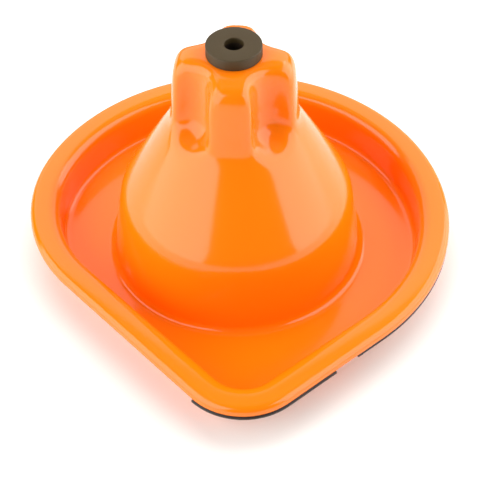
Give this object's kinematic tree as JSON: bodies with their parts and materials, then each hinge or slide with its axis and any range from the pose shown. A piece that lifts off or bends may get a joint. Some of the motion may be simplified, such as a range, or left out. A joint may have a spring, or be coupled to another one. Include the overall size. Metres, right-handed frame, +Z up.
{
  "type": "pheromone insect trap",
  "caption": "Ground-standing water-pan insect trap: a teardrop moat round a hollow fluted tower that lifts off a mast with a lure cup.",
  "frame": {"origin": "on the tower's axis, at the ground plane", "axes": "+Z up along the tower's axis; the pouring tip of the pan points to -Y"},
  "size_m": [0.2489, 0.2746, 0.148],
  "materials": {
    "orange_shell": "satin gloss moulded sheet",
    "black_rubber": "matt",
    "black_plastic": "fine moulded grain",
    "white_plastic": "natural, slightly translucent",
    "screw_steel": "bright",
    "lure_rubber": "matt",
    "lid_plastic": "fine moulded grain"
  },
  "bodies": {
    "lure_unit": {"bottom_cover": "black_plastic", "cover_seal": "black_rubber", "lure_mast": "white_plastic", "mast_screws": "screw_steel", "lure_cup": "white_plastic", "lure_septum": "lure_rubber"},
    "pan": {"pan_shell": "orange_shell", "top_washer": "black_rubber", "vent_bush": "black_plastic", "lip_strip_front": "black_rubber", "lip_strip_side": "black_rubber"},
    "lid": {"cup_lid": "lid_plastic"}
  },
  "joints": [
    {"name": "pan_lift", "type": "slide", "parent": "lure_unit", "child": "pan", "axis": [0, 0, 1], "range_m": [0, 0.15]},
    {"name": "lid_twist", "type": "hinge", "parent": "lure_unit", "child": "lid", "pos_m": [0, 0, 0.125], "axis": [0, 0, 1], "range_deg": [0, 60]}
  ]
}
